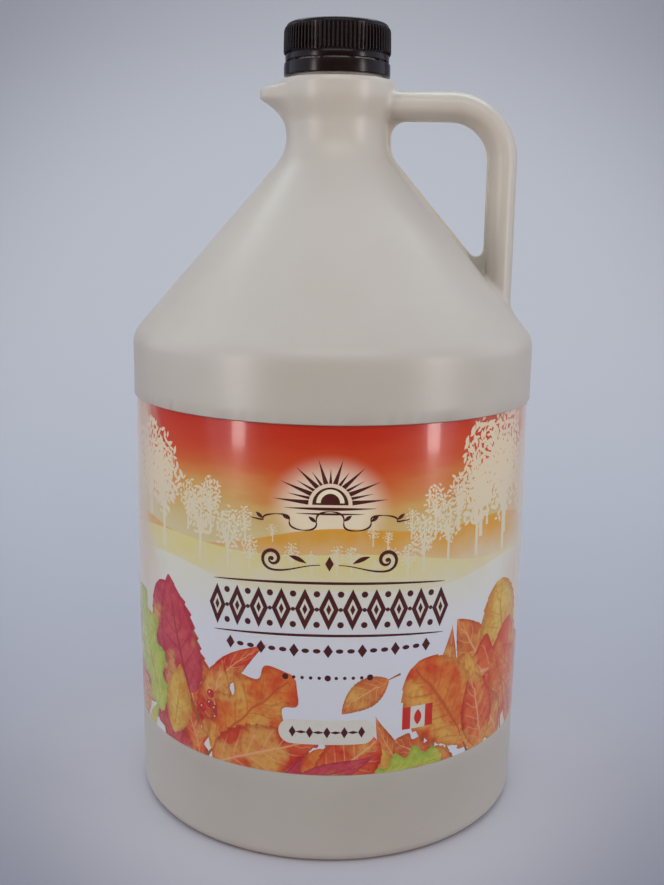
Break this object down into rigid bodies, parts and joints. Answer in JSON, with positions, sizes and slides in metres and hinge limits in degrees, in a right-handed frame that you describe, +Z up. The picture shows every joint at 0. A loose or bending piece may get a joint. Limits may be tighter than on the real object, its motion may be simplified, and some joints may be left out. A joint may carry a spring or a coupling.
{
  "type": "maple syrup jug",
  "caption": "Shut round plastic syrup jug with a sloping shoulder, stirrup handle, small pouring lip, ribbed screw cap with tamper band, and wrap-round label.",
  "frame": {"origin": "on the jug's axis, in the plane that it stands on", "axes": "+Z up along the jug's axis, +X from the axis towards the handle (the pouring lip is at -X), and the middle of the label faces -Y"},
  "size_m": [0.158, 0.158, 0.304],
  "materials": {
    "jug_plastic": "satin blow-moulded polyethylene, warm beige",
    "label_film": "glossy printed film in red, orange and cream",
    "cap_plastic": "moulded plastic, very dark brown, semi-gloss"
  },
  "bodies": {
    "root": {"jug": "jug_plastic", "label": "label_film", "cap": "cap_plastic"}
  },
  "joints": []
}
